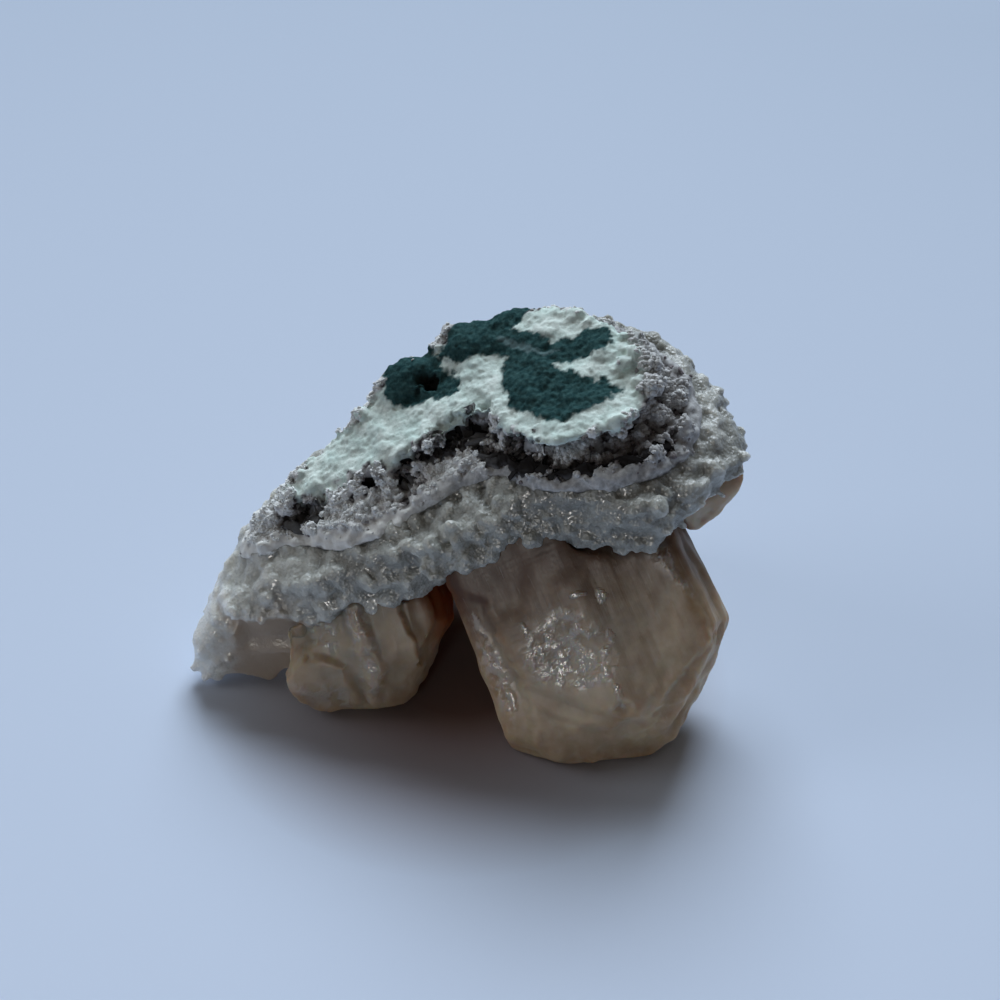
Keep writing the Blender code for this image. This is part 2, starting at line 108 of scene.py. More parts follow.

# The crevice under the plateau's lip, and the holes left of it; they are pushed in and painted
# black as their shade.
CREVICE = [(1.5, 1.6), (4.5, 0.2), (8.7, -2.6), (14.4, -6.4), (21, -7.4), (27, -5.4), (31, -2.2),
           (30.8, -4.0), (27, -7.4), (21.3, -9.1), (14.4, -8.2), (8.5, -5.0), (5, -2.2), (2.4, 0.2)]
HOLES = [
    [(-7.4, 1.9), (-4.5, 2.6), (-1.6, 3.3), (1.4, 3.6), (3.8, 3.6), (4, 1.8), (1.4, 1.2),
     (-3.1, 1.4), (-6.8, 1.1)],
    [(-15, 0.6), (-13.2, 1.4), (-12.2, 0.4), (-13.8, -0.4)],
    [(-9.2, 0.1), (-8.2, 0.6), (-7.4, -0.2), (-8, -1.5), (-8.9, -1.2)],
    [(-26.4, 0.2), (-24.6, 0.7), (-22, 0.1), (-20.8, -1.2), (-21.6, -1.9), (-24.4, -0.6)],
]

# Steps on the front faces of the sheaves, in each sheaf's own plane: (height, softness, fades,
# outline). A step that fades dies out towards the root and to the right.
STEPS = {
    "stilbite_main": [
        (-0.5, 0.9, False, [(-22, 0), (-12.6, 6), (-12.1, 16.7), (-13.1, 26.1), (-15.9, 32),
                            (-22, 32)]),
        (0.55, 0.8, True, [(-11.8, -6), (-11.8, 12.8), (-11.8, 16.8), (-11.4, 20.4),
                           (-7.6, 23.4), (-5.1, 25.8), (-1, 28.5), (2.1, 30.4), (6, 28),
                           (12, 20), (14, -6)]),
        (0.4, 0.7, True, [(-12.9, -6), (-12.7, 20.4), (-12.2, 22.2), (-11.6, 23.1),
                           (-9.9, 25.7), (-6.2, 28.3), (-3, 30.2), (2.1, 31.4), (7, 30),
                           (13, 21), (15, -6)]),
        (-0.7, 0.8, False, [(12.6, 0), (14.3, 9.2), (15.7, 15.5), (16.1, 20), (16.6, 27),
                            (23, 27), (23, 0)]),
        (-0.6, 0.6, False, [(-0.2, 35.1), (1.2, 33.9), (4.3, 31.5), (7.8, 28.7), (13.5, 25.5),
                            (19, 24), (19, 42), (-2, 42)]),
        (-0.8, 0.5, False, [(0.2, 27.1), (1.7, 28.5), (0.3, 29.1), (-0.8, 28)]),
    ],
    "stilbite_left": [
        (1.1, 0.8, False, [(-12.8, 17.3), (-11.9, 20.8), (-8.2, 24.4), (-4.7, 25.3), (-3, 23),
                           (-2.7, 20.4), (-2.8, 17), (-5.7, 15.4), (-9.1, 15.2)]),
        (1.0, 0.8, False, [(-1.1, 11.8), (-0.1, 13.5), (-0.4, 16.8), (-0.8, 19.5), (-1.8, 22),
                           (-1, 23.4), (1.7, 20.9), (2.9, 18.6), (2.4, 15.8), (1.9, 12.3),
                           (1.3, 4), (-1.4, 4)]),
        (-1.1, 0.5, False, [(6.6, 4), (7.2, 10.7), (8.8, 15.8), (8.2, 19.9), (7, 27), (16, 27),
                            (16, 4)]),
        (-1.1, 1.4, False, [(-16.6, 11.5), (-13, 9.4), (-8.8, 9.4), (-6.8, 12.5), (-9.8, 14.3),
                            (-13.3, 15.2)]),
    ],
}

# Paler, broken patches on those faces: painted pearly sheen, also smoother and bumpier.
PEARLY = {
    "stilbite_main": [
        [(-8.1, 13.5), (-5.1, 12.3), (-2.4, 11.5), (0.1, 13.2), (1.7, 16.7), (2.5, 19.4),
         (2.4, 22.5), (-0.1, 23.8), (-3.8, 24), (-7.2, 22.6), (-9.5, 20.4), (-10.4, 18.1),
         (-9.6, 15.3)],
        [(-15.4, 8.2), (-13.8, 12), (-13.3, 16.2), (-14, 21.5), (-16.3, 25), (-17, 18.8),
         (-16.8, 14.1)],
        [(11.5, 2), (12.6, 2), (15.2, 11), (16, 17), (14.6, 15), (12.6, 9)],
    ],
    "stilbite_left": [
        [(-1.4, 8), (1.5, 8), (2, 12.3), (2.6, 15.8), (2.9, 18.6), (1.7, 20.9), (-1, 23.4),
         (-1.4, 19.5), (-0.6, 14)],
        [(-12, 18), (-9, 22), (-4, 23), (-4, 20), (-8, 18.5)],
        [(-8, 9), (-5, 8), (-3, 12), (-4, 15), (-7, 13)],
    ],
}

# Painted glints on the main sheaf, spots made paler, smoother and bumpier: (place, half width, half
# length) in millimetres.
GLINTS = {
    "stilbite_main": [
        ((9.5, -18.0, 19.3), 0.5, 1.6),
        ((11.7, -19.9, 17.1), 0.5, 1.5),
        ((13.0, -19.0, 18.8), 1.0, 1.6),
        ((20.3, -16.5, 24.7), 0.9, 1.4),
        ((16.7, -16.4, 24.8), 0.9, 0.5),
        ((21.7, -19.8, 20.0), 0.6, 1.2),
        ((21.4, -22.8, 16.2), 1.2, 1.6),
        ((22.5, -24.6, 13.6), 0.4, 1.6),
        ((2.2, -16.8, 19.2), 0.4, 2.2),
        ((5.8, -20.9, 14.0), 0.6, 2.4),
        ((7.3, -23.5, 10.4), 0.6, 2.4),
        ((23.9, -26.0, 11.9), 0.7, 0.6),
        ((30.9, -15.5, 28.8), 0.3, 3.6),
    ],
}

# Where the druse's lower edge is moved beside the left sheaf and on the right, along x in
# millimetres: how far up it goes, and how deep under the upper surface the edge lies.
EDGE_RISE = [(-37, 0), (-33, -1.0), (-29, -3.6), (-25, -5.0), (-21, 0), (10, 0), (15, 2.3),
             (21, 3.5), (27, 3), (33, 2.5), (39, 3)]
EDGE_DEPTH = [(-38, 14.5), (-31, 19.5), (-26, 18), (-21, 17), (10, 20), (21, 21), (39, 26)]

# How far down the main sheaf its growth of druse reaches, across the sheaf, in millimetres.
TONGUE_EDGE = [(-18, 0.6), (-11, 0.4), (-4.5, 0.2), (1.3, 1.6), (8, 3.2)]

# The narrow gap between the left and the main sheaf, where the light glows through them; that glow
# is painted orange on the sheaves.
GAP = (-3.5, -2.0, 15.0)

# Where a warm, dark shadow is painted on the table, for the shadow and the light that has come
# through the crystals.
WARM_SHADE = (0.0, -6.0, 0.0)

# The sheaves, placed as in the solids, in millimetres. smoothing rounds the whole sheaf, shade
# darkens its colour and seed picks its unevenness.
SHEAVES = {
    "stilbite_main": dict(root=(13.3, -3.1, 27.5), axis=(0.40, -0.54, -0.74),
                          face=(-0.18, -0.78, 0.60), length=43.5, smoothing=90, shade=0.80, seed=1),
    "stilbite_left": dict(root=(-16.7, -0.1, 20.0), axis=(0.20, -0.62, -0.77),
                          face=(-0.20, -0.78, 0.60), length=28.5, smoothing=50, shade=0.66, seed=2),
    "stilbite_right": dict(root=(30.1, 3.5, 37.8), axis=(0.42, -0.30, -0.86),
                           face=(0.25, -0.85, 0.42), length=17.5, smoothing=12, shade=0.7, seed=3),
    "stilbite_back": dict(root=(12.8, 13.9, 31.0), axis=(0.16, 0.26, -0.95),
                          face=(0.05, 0.95, 0.25), length=37.5, smoothing=12, shade=0.9, seed=4),
    "stilbite_back_left": dict(root=(-8.7, 6.9, 26.0), axis=(-0.02, 0.24, -0.97),
                               face=(-0.06, 0.95, 0.25), length=32, smoothing=12, shade=0.8,
                               seed=5),
}

# Pairs of colours that a surface is mottled with, dark and pale.
MOTTLES = {
    # purple and crest: grains from near-black in their gaps, which is painted shade, to pale grey
    # on their crests
    "purple": ((0.022, 0.018, 0.019), (0.10, 0.085, 0.09)),
    "mint": ((0.72, 0.88, 0.83), (0.86, 0.96, 0.91)),
    "green": ((0.011, 0.045, 0.050), (0.055, 0.13, 0.13)),
    "rim": ((0.38, 0.385, 0.39), (0.72, 0.73, 0.74)),
    "dusty rim": ((0.86, 0.865, 0.84), (0.98, 0.985, 0.96)),
    "crest": ((0.66, 0.655, 0.66), (0.97, 0.98, 0.98)),
    # pale grain and dull grain: the dull ones are partly painted shade
    "pale grain": ((0.74, 0.76, 0.76), (0.96, 0.98, 0.97)),
    "dull grain": ((0.14, 0.125, 0.13), (0.34, 0.31, 0.32)),
    # druse: its dark end is painted shade in the recesses
    "druse": ((0.21, 0.213, 0.195), (0.76, 0.775, 0.725)),
    # frost: whiter crystal, partly painted light
    "frost_and_light": ((0.74, 0.755, 0.715), (0.98, 0.985, 0.945)),
    "peach": ((0.54, 0.37, 0.22), (0.78, 0.62, 0.42)),
    # table: lighter in front and darker at the back, as painted shade
    "table": ((0.64, 0.73, 0.90), (0.44, 0.525, 0.67)),
}

# Single colours that go over them.
MINT_SPECKLE = (0.40, 0.50, 0.45)
MINT_CREASE_SHADE = (0.34, 0.43, 0.40)
STREAK_GREY = (0.13, 0.21, 0.22)
PIT_SHADE = (0.012, 0.010, 0.011)
DRUSE_CLOUD = (0.40, 0.415, 0.395)
DRUSE_CREAM = (0.50, 0.39, 0.29)
PEACH_MILK_AND_LIGHT = (0.86, 0.76, 0.61)
PEACH_ROOT_SHADE = (0.13, 0.048, 0.018)
PEACH_GAP_GLOW = (0.55, 0.13, 0.012)
PEACH_PEARL_SHEEN = (0.93, 0.88, 0.80)
PEACH_LINE = (0.86, 0.76, 0.64)
TABLE_WARM_SHADOW = (0.19, 0.10, 0.085)

# The lamps: place, width and height in metres, power in watts, and colour.
LIT_POINT = (0, 0, 0.02)
LAMPS = {
    "window": ((0.35, 3.6, 3.6), (3.2, 2.5), 272.0, (0.80, 0.90, 1.0)),
    "left_window": ((-2.2, 0.2, 1.3), (1.2, 1.0), 9.0, (0.95, 0.98, 1.0)),
    "front_lamp": ((-0.078, -0.29, 0.18), (0.04, 0.04), 0.65, (1.0, 0.97, 0.92)),
}
ROOM_COLOUR = (1.0, 0.86, 0.74, 1.0)
ROOM_STRENGTH = 0.07
TABLE_SIZE = 3.0
TABLE_TOP = -0.0001


# Handling pieces

def take_up(piece):
    """Makes one piece the only selected and the active one."""
    bpy.ops.object.select_all(action="DESELECT")
    piece.select_set(True)
    bpy.context.view_layer.objects.active = piece


def copy_of_node(node, name):
    """A piece with a CAD node's shape, its loose triangles joined up."""
    piece = bpy.data.objects.new(name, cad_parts[node].data.copy())
    piece.data.name = name
    bpy.context.scene.collection.objects.link(piece)
    take_up(piece)
    bpy.ops.object.mode_set(mode="EDIT")
    bpy.ops.mesh.select_all(action="SELECT")
    bpy.ops.mesh.remove_doubles(threshold=0.002 * MM)
    bpy.ops.object.mode_set(mode="OBJECT")
    return piece


def finish_with(piece, kind, **settings):
    """Adds a modifier and applies it."""
    take_up(piece)
    modifier = piece.modifiers.new(kind.lower(), kind)
    for setting, value in settings.items():
        setattr(modifier, setting, value)
    bpy.ops.object.modifier_apply(modifier=modifier.name)


def rebuild(piece, cube):
    """Rebuilds a piece as one closed surface."""
    finish_with(piece, "REMESH", mode="VOXEL", voxel_size=cube * MM, use_smooth_shade=True)


def smooth(piece, rounds, factor=0.5, where=""):
    finish_with(piece, "SMOOTH", factor=factor, iterations=rounds, vertex_group=where)


def push(piece, height, where):
    """Moves part of a surface outwards by a height in millimetres."""
    finish_with(piece, "DISPLACE", strength=height * MM, mid_level=0.0, vertex_group=where)


def join_into(piece, others):
    take_up(piece)
    for other in others:
        other.select_set(True)
    bpy.ops.object.join()


def raise_relief(piece, kind, size, strength, group="", along=None, **settings):
    """Raises part of a surface by a texture. along gives the texture another object's axes."""
    texture = bpy.data.textures.new(kind.lower(), kind)
    texture.noise_scale = size
    for setting, value in settings.items():
        setattr(texture, setting, value)
    coords = {"texture_coords": "LOCAL"}
    if along is not None:
        coords = {"texture_coords": "OBJECT", "texture_coords_object": along}
    finish_with(piece, "DISPLACE", texture=texture, strength=strength, mid_level=0.5,
                vertex_group=group, **coords)
    bpy.data.textures.remove(texture)


def points_of(piece):
    """The piece's points in millimetres."""
    flat = np.zeros(len(piece.data.vertices) * 3)
    piece.data.vertices.foreach_get("co", flat)
    return flat.reshape(-1, 3) / MM


def normals_of(piece):
    flat = np.zeros(len(piece.data.vertices) * 3)
    piece.data.vertices.foreach_get("normal", flat)
    return flat.reshape(-1, 3)


def lifted(piece, points, normals):
    """How far each point now stands above where it was, in millimetres."""
    return ((points_of(piece) - points) * normals).sum(axis=1)


def skin_of(piece):
    """The piece's surface as it is now, in millimetres, to measure heights from."""
    faces = [tuple(polygon.vertices) for polygon in piece.data.polygons]
    return BVHTree.FromPolygons(points_of(piece).tolist(), faces)


def heights_over(skin, points):
    """How far each point stands above an earlier surface, in millimetres."""
    heights = []
    for point in points:
        nearest, facing, _, _ = skin.find_nearest(Vector(point))
        heights.append((Vector(point) - nearest).dot(facing))
    return np.array(heights)


def keep_tone(piece, name, values):
    """Keeps a value from 0 to 1 on every point, for the material."""
    attribute = piece.data.attributes.new(name + "_tone", "FLOAT", "POINT")
    attribute.data.foreach_set("value", np.clip(values, 0.0, 1.0).astype(np.float32))


def mask(piece, name, weights):
    """Keeps weights from 0 to 1 on a piece as a vertex group, for the modifiers."""
    group = piece.vertex_groups.get(name) or piece.vertex_groups.new(name=name)
    levels = np.round(np.clip(weights, 0.0, 1.0) * WEIGHT_LEVELS).astype(int)
    for level in range(WEIGHT_LEVELS + 1):
        group.add(np.nonzero(levels == level)[0].tolist(), level / WEIGHT_LEVELS, "REPLACE")


def dress(piece, node, material):
    """Shades a piece smooth, gives it its material, hangs it under the root body and hides the CAD
    node it stands for.
    """
    take_up(piece)
    bpy.ops.object.shade_smooth()
    piece.data.materials.clear()
    piece.data.materials.append(material)
    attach(piece, "root")
    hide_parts(node)


# Shapes in plan

def step(low, high, values):
    """0 below low, 1 above high and smooth between them."""
    t = np.clip((values - low) / (high - low), 0.0, 1.0)
    return t * t * (3 - 2 * t)


def inside(points, outline):
    """How far inside a plan outline each point lies, in millimetres, negative outside."""
    x, y = points[:, 0], points[:, 1]
    nearest = np.full(len(points), 1e9)
    within = np.zeros(len(points), bool)
    for (ax, ay), (bx, by) in zip(outline, outline[1:] + outline[:1]):
        ex, ey = bx - ax, by - ay
        t = np.clip(((x - ax) * ex + (y - ay) * ey) / (ex * ex + ey * ey), 0.0, 1.0)
        nearest = np.minimum(nearest, np.hypot(x - ax - t * ex, y - ay - t * ey))
        crossing = (ay > y) != (by > y)
        if ay != by:
            within ^= crossing & (x < ax + (y - ay) * ex / ey)
    return np.where(within, nearest, -nearest)


def raggedness(points, size, seed):
    """Smooth noise from about -1 to 1 at each point, with features of one size."""
    away = Vector((seed * 17.3, seed * 5.1, seed * 9.7))
    return np.array([noise.fractal(Vector(p) / size + away, 0.8, 2.0, 3) for p in points])


def read_off(pairs, places):
    """Values between a list's (place, value) pairs."""
    xs, values = zip(*pairs)
    return np.interp(places, xs, values)


def depth_under_top(points):
    """How far under the upper surface each point lies, in millimetres."""
    top = read_off(SPINE, points[:, 0]) + CLIMB * (points[:, 1] - PLAN_Y)
    return top - points[:, 2]


# Small things, copied many times

def surface_spots(piece, weights, count, chance):
    """Random places on a surface, more of them where the weights are high."""
    mesh = piece.data
    mesh.calc_loop_triangles()
    corners = np.zeros(len(mesh.loop_triangles) * 3, int)
    mesh.loop_triangles.foreach_get("vertices", corners)
    corners = corners.reshape(-1, 3)
    points = points_of(piece)
    normals = normals_of(piece)
    a, b, c = (points[corners[:, k]] for k in range(3))
    areas = np.linalg.norm(np.cross(b - a, c - a), axis=1)
    share = np.cumsum(areas * weights[corners].mean(axis=1))
    picks = np.searchsorted(share, chance.random(count) * share[-1])
    u, v = chance.random(count), chance.random(count)
    over = u + v > 1
    u[over], v[over] = 1 - u[over], 1 - v[over]
    mixes = np.stack([1 - u - v, u, v], axis=1)[:, :, None]
    spots = (points[corners[picks]] * mixes).sum(axis=1)
    facing = (normals[corners[picks]] * mixes).sum(axis=1)
    return spots, facing / np.linalg.norm(facing, axis=1, keepdims=True)


def turned_towards(directions, chance):
    """Rotations that point +Z along each direction, each with its own twist."""
    turns = []
    for direction in directions:
        turn = Vector(direction).to_track_quat("Z", "Y").to_matrix()
        turns.append(np.array(turn @ Matrix.Rotation(chance.random() * math.tau, 3, "Z")))
    return np.array(turns)


def scattered(name, model, spots, turns, sizes):
    """One mesh of copies of a small model. The model is used up."""
    corners = np.array([v.co for v in model.data.vertices])
    faces = [tuple(p.vertices) for p in model.data.polygons]
    placed = np.einsum("nij,nkj->nki", turns, corners[None] * sizes[:, None, :])
    placed = (placed + spots[:, None, :]) * MM
    count = len(corners)
    everything = [tuple(v + k * count for v in face) for k in range(len(spots)) for face in faces]
    mesh = bpy.data.meshes.new(name)
    mesh.from_pydata(placed.reshape(-1, 3).tolist(), [], everything)
    piece = bpy.data.objects.new(name, mesh)
    bpy.context.scene.collection.objects.link(piece)
    bpy.data.objects.remove(model)
    return piece


def grain_model():
    """A rounded, slightly uneven grain, one unit in radius."""
    return pebble("grain", 1, 0.3)


def lump_model():
    """A rounded lump of grown-together crystal, one unit in radius."""
    return pebble("lump", 2, 0.16)


def pebble(name, rounds, unevenness):
    bpy.ops.object.select_all(action="DESELECT")
    bpy.ops.mesh.primitive_ico_sphere_add(subdivisions=rounds, radius=1.0)
    piece = bpy.context.object
    piece.name = name
    bpy.ops.object.mode_set(mode="EDIT")
    bpy.ops.mesh.select_all(action="SELECT")
    bpy.ops.transform.vertex_random(offset=unevenness, uniform=0.4, normal=0.6, seed=3)
    bpy.ops.object.mode_set(mode="OBJECT")
    return piece


def crystal_model():
    """A six-sided crystal with a blunt point, one unit across and one long, from z = -0.4."""
    bpy.ops.object.select_all(action="DESELECT")
    bpy.ops.mesh.primitive_cylinder_add(vertices=6, radius=0.5, depth=1.0, location=(0, 0, 0.1))
    crystal = bpy.context.object
    bpy.ops.object.transform_apply(location=True)
    bpy.ops.object.mode_set(mode="EDIT")
    bpy.ops.mesh.select_all(action="DESELECT")
    bpy.ops.object.mode_set(mode="OBJECT")
    for vert in crystal.data.vertices:
        vert.select = vert.co.z > 0.5
    for polygon in crystal.data.polygons:
        polygon.select = polygon.normal.z > 0.9
    bpy.ops.object.mode_set(mode="EDIT")
    bpy.ops.mesh.inset(thickness=0.3)
    bpy.ops.transform.translate(value=(0, 0, 0.32))
    bpy.ops.object.mode_set(mode="OBJECT")
    return crystal


# Materials

def shaded_material(name):
    material = bpy.data.materials.new(name)
    material.use_nodes = True
    tree = material.node_tree
    shader = tree.nodes["Principled BSDF"]
    return material, tree, shader


def add(tree, kind, settings=None, **inputs):
    """A node with its own settings and its inputs' values or links."""
    made = tree.nodes.new(kind)
    for setting, value in (settings or {}).items():
        setattr(made, setting, value)
    for name, value in inputs.items():
        feed(tree, made.inputs[name.replace("_", " ")], value)
    return made


def feed(tree, socket, value):
    """Sets an input, or links another node's output to it."""
    if isinstance(value, bpy.types.NodeSocket):
        tree.links.new(value, socket)
    elif isinstance(value, tuple) and len(value) == 3 and socket.type == "RGBA":
        socket.default_value = (*value, 1.0)
    else:
        socket.default_value = value


def tone(tree, name):
    """A piece's own attribute."""
    return add(tree, "ShaderNodeAttribute", {"attribute_name": name}).outputs["Fac"]


def place(tree):
    return add(tree, "ShaderNodeTexCoord").outputs["Object"]


def blend(tree, share, first, second, kind="MIX"):
    """A colour between two colours."""
    made = tree.nodes.new("ShaderNodeMix")
    made.data_type = "RGBA"
    made.blend_type = kind
    feed(tree, made.inputs[0], share)
    feed(tree, made.inputs[6], first)
    feed(tree, made.inputs[7], second)
    return made.outputs[2]


def grain(tree, size, detail=4.0, roughness=0.6, where=None):
    """Noise from 0 to 1 with features of one size in metres."""
    made = add(tree, "ShaderNodeTexNoise", Scale=1.0 / size, Detail=detail, Roughness=roughness)
    feed(tree, made.inputs["Vector"], where or place(tree))
    return made.outputs["Fac"]


def cells(tree, size, where=None):
    made = add(tree, "ShaderNodeTexVoronoi", Scale=1.0 / size)
    feed(tree, made.inputs["Vector"], where or place(tree))
    return made.outputs["Distance"]


def spread(tree, value, low, high, to_low=0.0, to_high=1.0):
    """Stretches a value's range, and clamps it."""
    return add(tree, "ShaderNodeMapRange", Value=value, From_Min=low, From_Max=high,
               To_Min=to_low, To_Max=to_high).outputs["Result"]


def mottled(tree, pair, value, low, high):
    """A colour that goes from the first to the second of a pair as a value rises."""
    return blend(tree, spread(tree, value, low, high), *MOTTLES[pair])


def settle(shader, **values):
    """Sets a shader's own inputs."""
    for name, value in values.items():
        shader.inputs[name.replace("_", " ")].default_value = value


def maths(tree, operation, first, second=0.0):
    made = tree.nodes.new("ShaderNodeMath")
    made.operation = operation
    feed(tree, made.inputs[0], first)
    feed(tree, made.inputs[1], second)
    return made.outputs[0]


def bumps(tree, shader, layers):
    """A chain of bumps: (height, strength, distance in metres)."""
    normal = None
    for height, strength, distance in layers:
        made = add(tree, "ShaderNodeBump", Strength=strength, Distance=distance, Height=height)
        if normal is not None:
            tree.links.new(normal, made.inputs["Normal"])
        normal = made.outputs["Normal"]
    tree.links.new(normal, shader.inputs["Normal"])


def crust_material():
    """Pale mint rock with dark green, grey-purple and white parts, with painted shade in its
    creases, gaps, pits and under its lip.
    """
    material, tree, shader = shaded_material("crust_stone")
    coarse, fine = grain(tree, 4 * MM), grain(tree, 0.8 * MM, 6.0)
    purple = mottled(tree, "purple", fine, 0.35, 0.65)
    mint = mottled(tree, "mint", coarse, 0.35, 0.65)
    mint = blend(tree, spread(tree, fine, 0.5, 0.7, 0.0, 0.6), mint, MINT_SPECKLE)
    # Painted shade in the mint's creases.
    mint = blend(tree, maths(tree, "MULTIPLY", tone(tree, "crease_tone"), 0.6), mint, MINT_CREASE_SHADE)
    green = mottled(tree, "green", fine, 0.35, 0.7)
    rim = mottled(tree, "rim", fine, 0.35, 0.7)
    dusty = mottled(tree, "dusty rim", fine, 0.35, 0.7)
    rim = blend(tree, tone(tree, "dusty_tone"), rim, dusty)
    grey = mottled(tree, "crest", fine, 0.35, 0.7)
    # Painted shade: the grainy parts darker the lower they lie, lighter on their crests.
    crest = maths(tree, "MULTIPLY", tone(tree, "crest_tone"), tone(tree, "out_of_shade_tone"))
    purple = blend(tree, crest, purple, grey)
    colour = blend(tree, tone(tree, "mint_tone"), purple, mint)
    colour = blend(tree, tone(tree, "rim_tone"), colour, rim)
    colour = blend(tree, tone(tree, "green_tone"), colour, green)
    colour = blend(tree, tone(tree, "streak_tone"), colour, STREAK_GREY)
    below_crests = spread(tree, crest, 0.0, 1.0, 1.0, 0.85)
    # Painted shade: the crevice, holes and hollow black, a little less on the crests.
    pit_shade = maths(tree, "MULTIPLY", tone(tree, "hollow_tone"), below_crests)
    colour = blend(tree, pit_shade, colour, PIT_SHADE)
    feed(tree, shader.inputs["Base Color"], colour)
    settle(shader, Roughness=0.95, Specular_IOR_Level=0.08)
    bumps(tree, shader, [(fine, 0.5, 0.25 * MM), (grain(tree, 0.3 * MM, 3.0), 0.4, 0.1 * MM)])
    return material


def grain_material():
    """Small rounded grains, from dusty white to grey-purple; the darker ones are partly painted
    shade.
    """
    material, tree, shader = shaded_material("grain_stone")
    fine = grain(tree, 0.5 * MM, 4.0)
    pale = mottled(tree, "pale grain", fine, 0.3, 0.7)
    dull = mottled(tree, "dull grain", fine, 0.3, 0.7)
    feed(tree, shader.inputs["Base Color"], blend(tree, tone(tree, "grain_tone"), dull, pale))
    settle(shader, Roughness=0.9, Specular_IOR_Level=0.12)
    bumps(tree, shader, [(fine, 0.5, 0.15 * MM)])
    return material


def druse_material():
    """Milky white crystal that lets light into it, creamy at the low end, with painted shade in its
    recesses and on its lower right, and painted light at its left end.
    """
    material, tree, shader = shaded_material("druse_white")
    cloudy = grain(tree, 3.5 * MM, 4.0)
    fine = grain(tree, 0.5 * MM, 4.0)
    white = blend(tree, tone(tree, "crest_tone"), *MOTTLES["druse"])
    white = blend(tree, spread(tree, cloudy, 0.4, 0.7, 0.0, 0.6), white, DRUSE_CLOUD)
    frost_and_light = blend(tree, tone(tree, "crest_tone"), *MOTTLES["frost_and_light"])
    white = blend(tree, tone(tree, "frost_and_light_tone"), white, frost_and_light)
    colour = blend(tree, tone(tree, "cream_tone"), white, DRUSE_CREAM)
    feed(tree, shader.inputs["Base Color"], colour)
    settle(shader, Subsurface_Weight=0.85, Subsurface_Radius=(1.0, 0.95, 0.9),
           Subsurface_Scale=2.2 * MM, Roughness=0.34, Coat_Weight=0.2, Coat_Roughness=0.16)
    calm = maths(tree, "SUBTRACT", 1.0, tone(tree, "cream_tone"))
    sugar = maths(tree, "MULTIPLY", cells(tree, 0.55 * MM), calm)
    bumps(tree, shader, [(fine, 0.5, 0.2 * MM), (sugar, 0.9, 0.25 * MM)])
    return material


def peach_material(name, spec):
    """Translucent peach crystal: brown at the root, partly painted shade, paler in the middle,
    partly painted light, with painted pearly sheen and glints in patches, a painted glow by the gap
    and faint long lines.
    """
    material, tree, shader = shaded_material(name)
    lengthwise = add(tree, "ShaderNodeMapping", {"vector_type": "TEXTURE"}, Vector=place(tree))
    turn = sheaf_frame(spec)
    lengthwise.inputs["Rotation"].default_value = turn.to_euler()
    lengthwise.inputs["Location"].default_value = Vector(spec["root"]) * MM
    lengthwise.inputs["Scale"].default_value = (1.0, 1.0, 18.0)
    lines = grain(tree, 0.5 * MM, 4.0, 0.6, lengthwise.outputs["Vector"])
    cloudy = grain(tree, 6 * MM, 4.0)
    fine = grain(tree, 0.35 * MM, 3.0)
    pearl_sheen = tone(tree, "pearl_sheen_tone")
    peach = mottled(tree, "peach", cloudy, 0.35, 0.65)
    peach = blend(tree, tone(tree, "milk_and_light_tone"), peach, PEACH_MILK_AND_LIGHT)
    peach = blend(tree, tone(tree, "root_tone"), peach, PEACH_ROOT_SHADE)
    peach = blend(tree, tone(tree, "gap_glow_tone"), peach, PEACH_GAP_GLOW)
    # Painted sheen and glints: paler in the pearly patches and glint spots.
    peach = blend(tree, maths(tree, "MULTIPLY", pearl_sheen, 0.6), peach, PEACH_PEARL_SHEEN)
    peach = blend(tree, spread(tree, lines, 0.62, 0.78, 0.0, 0.35), peach, PEACH_LINE)
    peach = blend(tree, 1.0, peach, (spec["shade"],) * 3, "MULTIPLY")
    feed(tree, shader.inputs["Base Color"], peach)
    settle(shader, Subsurface_Weight=0.9, Subsurface_Radius=(1.0, 0.5, 0.25),
           Subsurface_Scale=4.0 * MM, Specular_IOR_Level=0.35)
    dull = spread(tree, fine, 0.3, 0.7, 0.5, 0.6)
    glossy = maths(tree, "MULTIPLY", pearl_sheen, 0.32)
    feed(tree, shader.inputs["Roughness"], maths(tree, "SUBTRACT", dull, glossy))
    broken = maths(tree, "MULTIPLY", grain(tree, 1.4 * MM, 3.0), pearl_sheen)
    bumps(tree, shader, [(lines, 0.25, 0.15 * MM), (broken, 0.7, 0.4 * MM), (fine, 0.1, 0.05 * MM)])
    return material


def sheaf_frame(spec):
    """Rotation whose columns are a sheaf's side, broad face and long directions."""
    z = Vector(spec["axis"]).normalized()
    y = Vector(spec["face"])
    y = (y - z * y.dot(z)).normalized()
    return Matrix((y.cross(z), y, z)).transposed()


# The pieces

